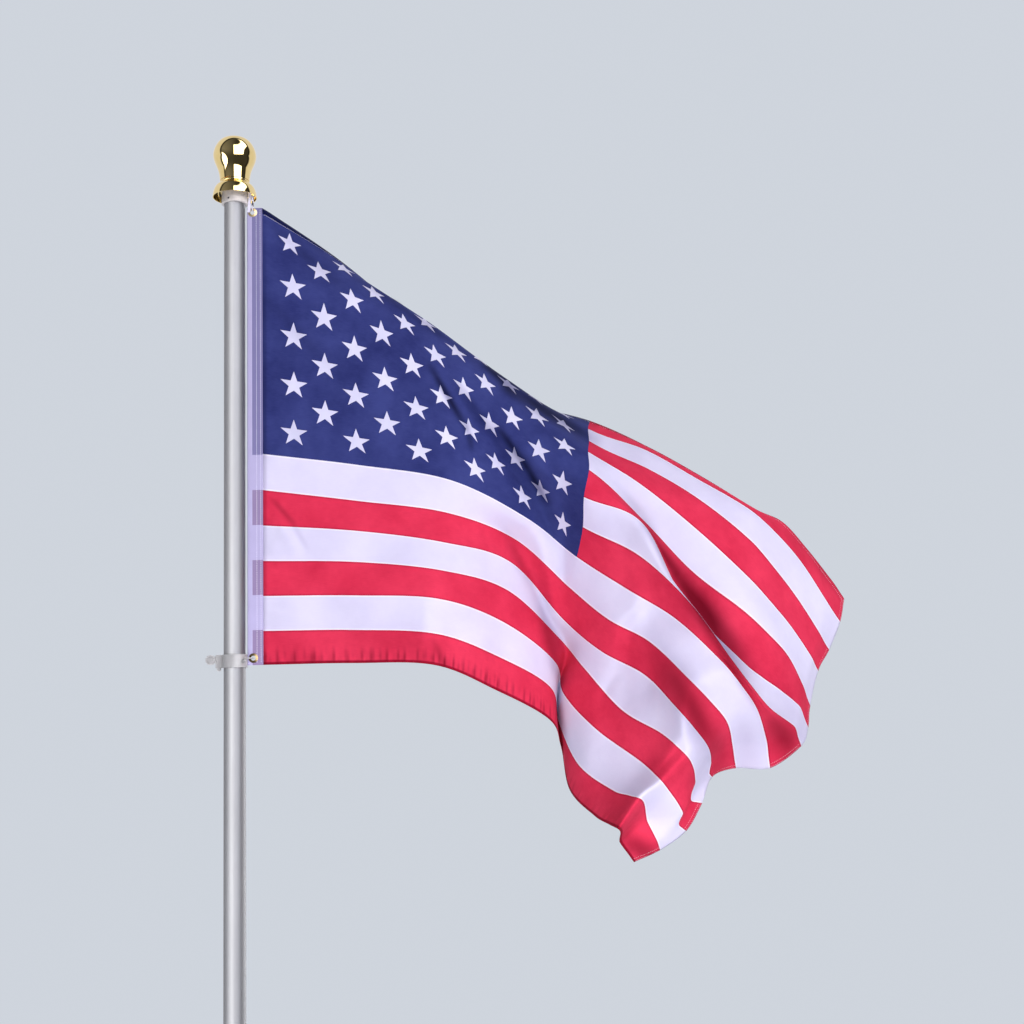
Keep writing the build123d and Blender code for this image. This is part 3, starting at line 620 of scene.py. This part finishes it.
# ABS of the collar, matt black ABS of the plug, and frosted clear polycarbonate that reads as pale grey
collar_plastic = moulded("pale_moulded_plastic", "#d6d1ca", "#c6c1bb", 0.42)
black_plastic = moulded("black_moulded_plastic", "#1b1b1c", "#111112", 0.55)
clear_plastic = moulded("frosted_clear_plastic", "#c6c6c4", "#aeaeac", 0.36, 0.3)
screw_steel = steel()

looks = {
    satin: ["pole_lower", "pole_middle", "pole_upper"],
    gold: ["finial_cup", "finial_bead", "finial_ball"],
    pale_brass: ["grommet_top"],
    aged_brass: ["grommet_foot"],
    collar_plastic: ["top_collar", "swivel_ring"],
    black_plastic: ["foot_plug"],
    clear_plastic: ["clamp_ring", "clamp_bolt", "thumb_nut", "foot_hook"],
    screw_steel: ["collar_screw"],
    cord: ["top_link"],
    webbing: ["top_tie"],
}
for material, names in looks.items():
    for name in names:
        nodes[name].data.materials.clear()
        nodes[name].data.materials.append(material)

# The flag's cloth: thicker over the felled seams and the fly hem, each face red, white or blue by its flat place
fly_hem = np.clip(1 - np.abs(FLY - 0.006 - S) / 0.007, 0, 1)
row = (T / STRIPE) % 1.0
felled = bump(np.minimum(row, 1 - row) * STRIPE / FELL) * np.where((T < UNION_DROP - 0.004) & (S < UNION), 0, 1)
felled = np.clip(felled + bump((S - UNION) / FELL) * (T < UNION_DROP), 0, 1)
thick = cloth_normal * (CLOTH_HALF + SEAM_ADDS * felled + HEM_ADDS * np.sqrt(fly_hem))[..., None]
flag, flag_faces = shell("flag_cloth", cloth + thick, cloth - thick, np.stack([S / FLY, 1 - T / HOIST], -1))
# Painted fold shade on the cloth's vertices, read by its materials
store_painted_shade(flag, np.tile(painted_fold_shade.ravel(), 2))
for material in (red_nylon, white_nylon, blue_nylon):
    flag.data.materials.append(material)
face_s, face_t = [np.tile(grid.ravel(), 2)[flag_faces].mean(1) for grid in (S, T)]
stripe_of = np.clip((face_t / STRIPE).astype(int), 0, STRIPES - 1)
colour_of = np.where((face_s < UNION) & (stripe_of < BESIDE_UNION), 2, stripe_of % 2)
flag.data.polygons.foreach_set("material_index", colour_of.astype(np.int32))


def at_flat(grid, s, t):
    """A grid's values at flat places s, t."""
    u = np.interp(s, s1, np.arange(len(s1)))
    v = np.clip(t / HOIST * (len(t1) - 1), 0, len(t1) - 1)
    i = np.clip(u.astype(int), 0, len(s1) - 2)
    j = np.clip(v.astype(int), 0, len(t1) - 2)
    f, g = (u - i)[:, None], (v - j)[:, None]
    return ((grid[j, i] * (1 - f) + grid[j, i + 1] * f) * (1 - g)
            + (grid[j + 1, i] * (1 - f) + grid[j + 1, i + 1] * f) * g)


def on_cloth(s, t):
    """Points on the cloth's middle and its normals there."""
    n = at_flat(cloth_normal, s, t)
    return at_flat(cloth, s, t), n / np.linalg.norm(n, axis=-1, keepdims=True)


def star_flat(grain=5):
    """One star as small triangles about its centre."""
    rim = []
    for k in range(10):
        radius, turn = STAR_RADIUS * (STAR_WAIST if k % 2 else 1), math.pi / 2 + k * math.pi / 5
        rim.append(np.array([radius * math.cos(turn), radius * math.sin(turn)]))
    known, triangles = {}, []

    def corner(k, i, j):
        """The number of the place i steps towards one point of the rim and j towards the next."""
        x, y = rim[k] * (i / grain) + rim[(k + 1) % 10] * (j / grain)
        return known.setdefault((round(x, 7), round(y, 7)), len(known))

    for k in range(10):
        for i in range(grain):
            for j in range(grain - i):
                triangles.append((corner(k, i, j), corner(k, i + 1, j), corner(k, i, j + 1)))
                if i + j < grain - 1:
                    triangles.append((corner(k, i + 1, j), corner(k, i + 1, j + 1), corner(k, i, j + 1)))
    return np.array(list(known)), np.array(triangles)


# Fifty stars in nine rows of six and five, sewn on both sides
centres = np.array([(column * UNION / 12, row * UNION_DROP / 10)
                    for row in range(1, 10) for column in range(1, 12) if (row + column) % 2 == 0])
star_places, star_triangles = star_flat()
star_s = (centres[:, :1] + star_places[:, 0]).ravel()
star_t = (centres[:, 1:] - star_places[:, 1]).ravel()
first = np.arange(len(centres)) * len(star_places)
star_faces = (star_triangles + first[:, None, None]).reshape(-1, 3)
star_points, star_normals = on_cloth(star_s, star_t)
for name, side in (("stars_front", 1), ("stars_back", -1)):
    stars = mesh_object(name, star_points + star_normals * side * STAR_OFF, star_faces[:, ::side])
    cut_map(stars, np.stack([star_s / FLY, 1 - star_t / HOIST], -1))
    # Painted fold shade of the cloth under each star
    store_painted_shade(stars, at_flat(painted_fold_shade[..., None], star_s, star_t)[:, 0])
    stars.data.materials.append(star_twill)
    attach(stars, "flag")

# The heading tape: puffed between its two rows of stitches, slightly wavy, flat round the eyelets
heading_low, heading_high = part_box("heading")
eyelets = [(low + high) / 2 for low, high in (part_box("grommet_top"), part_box("grommet_foot"))]
tape_x, tape_z = np.meshgrid(np.linspace(HEADING_X, SEAM_X + TAPE_LAP, 17),
                             np.linspace(heading_high.z, heading_low.z, 381))
across = (tape_x - HEADING_X) / HEADING_WIDTH
sewn = sum(bump((across - share) / 0.035) for share in TAPE_SEWN)
puff = 0.00075 * np.clip(np.sqrt(np.clip(across, 0, 1) * 6), 0.35, 1) - 0.0002 * sewn
wave = 0.0004 * np.sin(tape_z * 95 + 2 * np.sin(tape_z * 17)) * np.clip(1 - across, 0, 1)
wave[:, -1] = 0
for eyelet in eyelets:
    near = np.clip(1.6 - np.hypot(tape_x - eyelet.x, tape_z - eyelet.z) / 0.014, 0, 1)
    wave *= 1 - near
    puff = puff * (1 - near) + np.minimum(puff, 0.0006) * near
heading_tape, _ = shell("heading_tape", np.stack([tape_x, wave - puff, tape_z], -1),
                        np.stack([tape_x, wave + puff, tape_z], -1), np.stack([across, (tape_z - 5.0) / 1.2], -1))
mesh = bmesh.new()
mesh.from_mesh(heading_tape.data)
middles = [(face, face.calc_center_median()) for face in mesh.faces]
holes = [face for face, m in middles if any(math.hypot(m.x - e.x, m.z - e.z) < EYELET_HOLE for e in eyelets)]
bmesh.ops.delete(mesh, geom=holes, context="FACES")
mesh.to_mesh(heading_tape.data)
mesh.free()
heading_tape.data.materials.append(canvas_tape)


def stitches(name, points, normals, length, width, offset=0.0, gap=0.0012):
    """A row of short flat stitches, each a little arched, along a line of points with normals."""
    run = np.concatenate([[0], np.cumsum(np.linalg.norm(np.diff(points, axis=0), axis=1))])
    vertices, faces = [], []
    at = 0.0
    while at + length < run[-1]:
        start, end = [np.array([np.interp(d, run, points[:, k]) for k in range(3)]) for d in (at, at + length)]
        n = np.array([np.interp(at + length / 2, run, normals[:, k]) for k in range(3)])
        along = (end - start) / np.linalg.norm(end - start)
        n -= along * (n @ along)
        n /= np.linalg.norm(n)
        cross = np.cross(n, along)
        first = len(vertices)
        quarter = along * length * 0.25
        for place, height in ((start, 0.0), (start + quarter, 1.0), (end - quarter, 1.0), (end, 0.0)):
            for sideways in (-0.5, 0.5):
                vertices.append(place + cross * width * sideways + n * (offset + height * width * 0.5))
        faces += [(first + k, first + k + 1, first + k + 3, first + k + 2) for k in (0, 2, 4)]
        at += length + gap
    piece = mesh_object(name, vertices, faces)
    piece.data.materials.append(thread)
    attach(piece, "flag")
    return name


down = np.linspace(heading_high.z - 0.004, heading_low.z + 0.004, 400)
for k, share in enumerate(TAPE_SEWN):
    line = np.stack([np.full(400, HEADING_X + HEADING_WIDTH * share), np.full(400, -0.00078), down], -1)
    forward = np.tile([0.0, -1.0, 0.0], (400, 1))
    stitches(f"heading_stitches_{k + 1}", line, forward, 0.0032, 0.0007)
for k, inset in enumerate((0.0025, 0.0095)):
    line = on_cloth(np.full(500, FLY - inset), np.linspace(0.003, HOIST - 0.003, 500))
    stitches(f"fly_hem_stitches_{k + 1}", *line, 0.003, 0.0004, 0.0005)
line = on_cloth(np.linspace(0.004, FLY - 0.004, 900), np.full(900, TOP_HEM + 0.0005))
stitches("edge_stitches", *line, 0.003, 0.0006, 0.0005)

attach(flag, "flag")
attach(heading_tape, "flag")
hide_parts("union", *[f"stripe_{k:02d}" for k in range(1, STRIPES + 1)])
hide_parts("heading")

# The studio: a round pale floor
FLOOR_RADIUS = 9.0
turns = np.arange(96) * math.pi / 48
floor = mesh_object("floor", [(FLOOR_RADIUS * math.cos(a), FLOOR_RADIUS * math.sin(a), -0.002) for a in turns],
                    [tuple(range(96))])
# Painted board, matt and even, lit a little from within so that it shows no dark edge
material, tree, where = new_material("pale_floor")
tone = put(tree, "TexNoise", {"Vector": where, "Scale": per(666.7), "Detail": 3.0}, "Fac")
pale = put(tree, "Mix", {0: tone, 6: rgb("#dfe3e9"), 7: rgb("#e6e9ee")}, **COLOURS)
board = put(tree, "BsdfPrincipled", {"Base Color": pale, "Roughness": 0.9, "Emission Color": pale,
                                     "Emission Strength": 0.3})
put(tree, "OutputMaterial", {"Surface": board})
floor.data.materials.append(material)

# The room that polished gold mirrors: bright outside its walls, dark inside, with three windows
world = bpy.data.worlds.new("studio")
bpy.context.scene.world = world
world.use_nodes = True
room = world.node_tree
room.nodes.clear()
direction = put(room, "TexCoord", out="Generated")
# How far a direction goes to the right, upwards and to the front of the viewer's way
to_right, to_above, to_front = [
    put(room, "VectorMath", [direction, axis], "Value", operation="DOT_PRODUCT")
    for axis in ((0.981, 0.196, 0.0), (0.0746, -0.3733, 0.9249), (0.1813, -0.9066, -0.3805))]


def between(value, low, high, soft=0.03):
    """1 where a value lies between two others, with soft ends."""
    ends = [put(room, "MapRange", [value, low - soft, low + soft]),
            put(room, "MapRange", [value, high + soft, high - soft])]
    return put(room, "Math", ends, operation="MULTIPLY")


slant = put(room, "Math", [to_right, 0.942, to_above], operation="MULTIPLY_ADD")
windows = 0.0
for sides in ((between(to_right, -0.08, 0.72), between(to_above, 0.14, 0.92)),
              (put(room, "MapRange", [slant, -0.69, -0.74]), between(to_right, -0.95, -0.08)),
              (between(to_right, -0.05, 0.5), between(to_above, -1.1, -0.62))):
    windows = put(room, "Math", [*sides, windows], operation="MULTIPLY_ADD", use_clamp=True)
walls = put(room, "Math", [put(room, "MapRange", [to_right, 0.1, -0.8]),
                           put(room, "MapRange", [to_above, -0.1, 0.5])], operation="MULTIPLY")
walls = put(room, "Math", [walls, 0.21, 0.0315], operation="MULTIPLY_ADD")
walls = put(room, "Math", [windows, 6.3, walls], operation="MULTIPLY_ADD")
depth_in = put(room, "Math", [put(room, "Math", [to_above], operation="ABSOLUTE"), 0.7, to_front],
               operation="MULTIPLY_ADD")
inside = put(room, "MapRange", [depth_in, 0.30, 0.42])
outside = put(room, "MapRange", [depth_in, 0.22, 0.10])
outside = put(room, "Math", [outside, 0.903, 0.021], operation="MULTIPLY_ADD")
mirrored = put(room, "Math", [inside, walls, outside], operation="MULTIPLY_ADD")

# Soft light from all round, a little stronger from above, and the pale backdrop that the camera sees
rise = put(room, "MapRange", [put(room, "SeparateXYZ", [direction], "Z"), -1.0, 1.0, 0.82, 1.0])
soft = put(room, "Math", [rise, 0.51], operation="MULTIPLY")
soft, mirrored, backdrop = [put(room, "Background", [rgb(code), strength]) for code, strength in (
    ("#e4e6f2", soft), ("#f6f7ff", mirrored), ("#dde3ec", 0.86))]
glossy = put(room, "LightPath", out="Is Glossy Ray")
shown = put(room, "MixShader", [glossy, soft, mirrored])
shown = put(room, "MixShader", [glossy.node.outputs["Is Camera Ray"], shown, backdrop])
put(room, "OutputWorld", {"Surface": shown})


def softbox(name, place, aim, size, power, colour, mirrored_too=False):
    """A soft rectangular light that the camera doesn't see; gloss mirrors it only when asked."""
    light = bpy.data.lights.new(name, "AREA")
    light.shape = "RECTANGLE"
    light.size, light.size_y = size
    light.energy = power
    light.color = rgb(colour)[:3]
    obj = bpy.data.objects.new(name, light)
    obj.location = place
    obj.rotation_euler = (Vector(aim) - Vector(place)).to_track_quat("-Z", "Y").to_euler()
    obj.visible_glossy = mirrored_too
    obj.visible_camera = False
    bpy.context.scene.collection.objects.link(obj)
    return obj


# The broad one at the upper right lights the cloth, the low one the folds near its foot
softbox("upper_right", (3.6, -2.9, 7.2), (1.1, 0.2, 5.3), (2.6, 2.6), 192, "#f8f4fc")
softbox("low", (0.3, -1.5, 4.15), (0.8, 0.0, 4.8), (1.0, 1.0), 29, "#fbf7ff")
softbox("upper_left", (-2.1, -4.7, 7.9), (0.6, 0.0, 5.5), (1.6, 1.6), 14, "#fffaf2")
softbox("back", (2.0, 4.5, 8.0), (0.6, 0.0, 5.5), (2.5, 2.5), 45, "#f4f6ff")

# Two tall strips that shine on the tube alone, for the long streaks along its whole height
tube = bpy.data.collections.new("tube")
for name in looks[satin]:
    tube.objects.link(nodes[name])
for name, place, power in (("strip_left", (-1.5, -3.9, 4.6), 480), ("strip_right", (3.3, 2.9, 4.6), 230)):
    strip = softbox(name, place, (0.0, 0.0, 4.6), (0.45, 7.0), power, "#ffffff", True)
    strip.light_linking.receiver_collection = tube

lens = bpy.data.cameras.new("camera")
lens.sensor_width = FILM
lens.lens = FOCUS / WIDE * FILM
lens.clip_end = 200.0
camera = bpy.data.objects.new("camera", lens)
bpy.context.scene.collection.objects.link(camera)
bpy.context.scene.camera = camera
turn = np.eye(4)
turn[:3, 0], turn[:3, 1], turn[:3, 2], turn[:3, 3] = SIDE, UP, -AHEAD, EYE
camera.matrix_world = Matrix(turn.tolist())
bpy.context.scene.view_settings.view_transform = "Standard"
